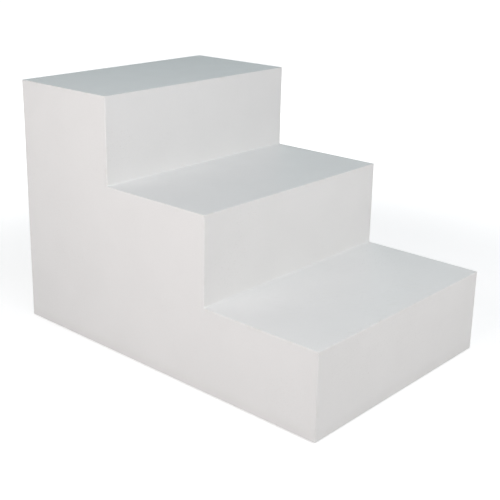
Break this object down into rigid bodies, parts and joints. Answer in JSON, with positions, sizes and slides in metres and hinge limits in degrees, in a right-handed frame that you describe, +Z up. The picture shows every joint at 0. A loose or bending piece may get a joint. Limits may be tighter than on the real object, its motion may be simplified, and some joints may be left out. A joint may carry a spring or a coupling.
{
  "type": "stage steps",
  "caption": "Closed block of white-painted steps with full risers, closed sides and back, a softwood frame inside and small floor pads.",
  "frame": {"origin": "on the floor under the middle of the steps, where the floor pads rest", "axes": "+Z up, +Y the way a person climbs, from the lowest riser to the back, and +X to that person's right"},
  "size_m": [0.6, 0.9, 0.6],
  "materials": {
    "white_paint": "satin",
    "raw_board": "matte",
    "softwood": "matte",
    "nylon": "matte",
    "zinc_screw": "satin",
    "wood_glue": "satin"
  },
  "bodies": {
    "root": {"side_panel_left": "white_paint", "side_panel_right": "white_paint", "back_panel": "white_paint", "riser_1": "white_paint", "riser_2": "white_paint", "riser_3": "white_paint", "tread_1": "white_paint", "tread_2": "white_paint", "tread_3": "white_paint", "centre_rib": "raw_board", "nosing_batten_1": "softwood", "nosing_batten_2": "softwood", "nosing_batten_3": "softwood", "step_rail_1": "softwood", "step_rail_2": "softwood", "back_batten": "softwood", "base_rail_front": "softwood", "base_rail_back": "softwood", "base_rail_left": "softwood", "base_rail_right": "softwood", "tread_cleat_left_1": "softwood", "tread_cleat_left_2": "softwood", "tread_cleat_left_3": "softwood", "tread_cleat_right_1": "softwood", "tread_cleat_right_2": "softwood", "tread_cleat_right_3": "softwood", "corner_post_left_1": "softwood", "corner_post_left_2": "softwood", "corner_post_left_3": "softwood", "corner_post_right_1": "softwood", "corner_post_right_2": "softwood", "corner_post_right_3": "softwood", "back_post_left": "softwood", "back_post_right": "softwood", "floor_pad_left_1": "nylon", "floor_pad_left_2": "nylon", "floor_pad_left_3": "nylon", "floor_pad_right_1": "nylon", "floor_pad_right_2": "nylon", "floor_pad_right_3": "nylon"}
  },
  "joints": []
}
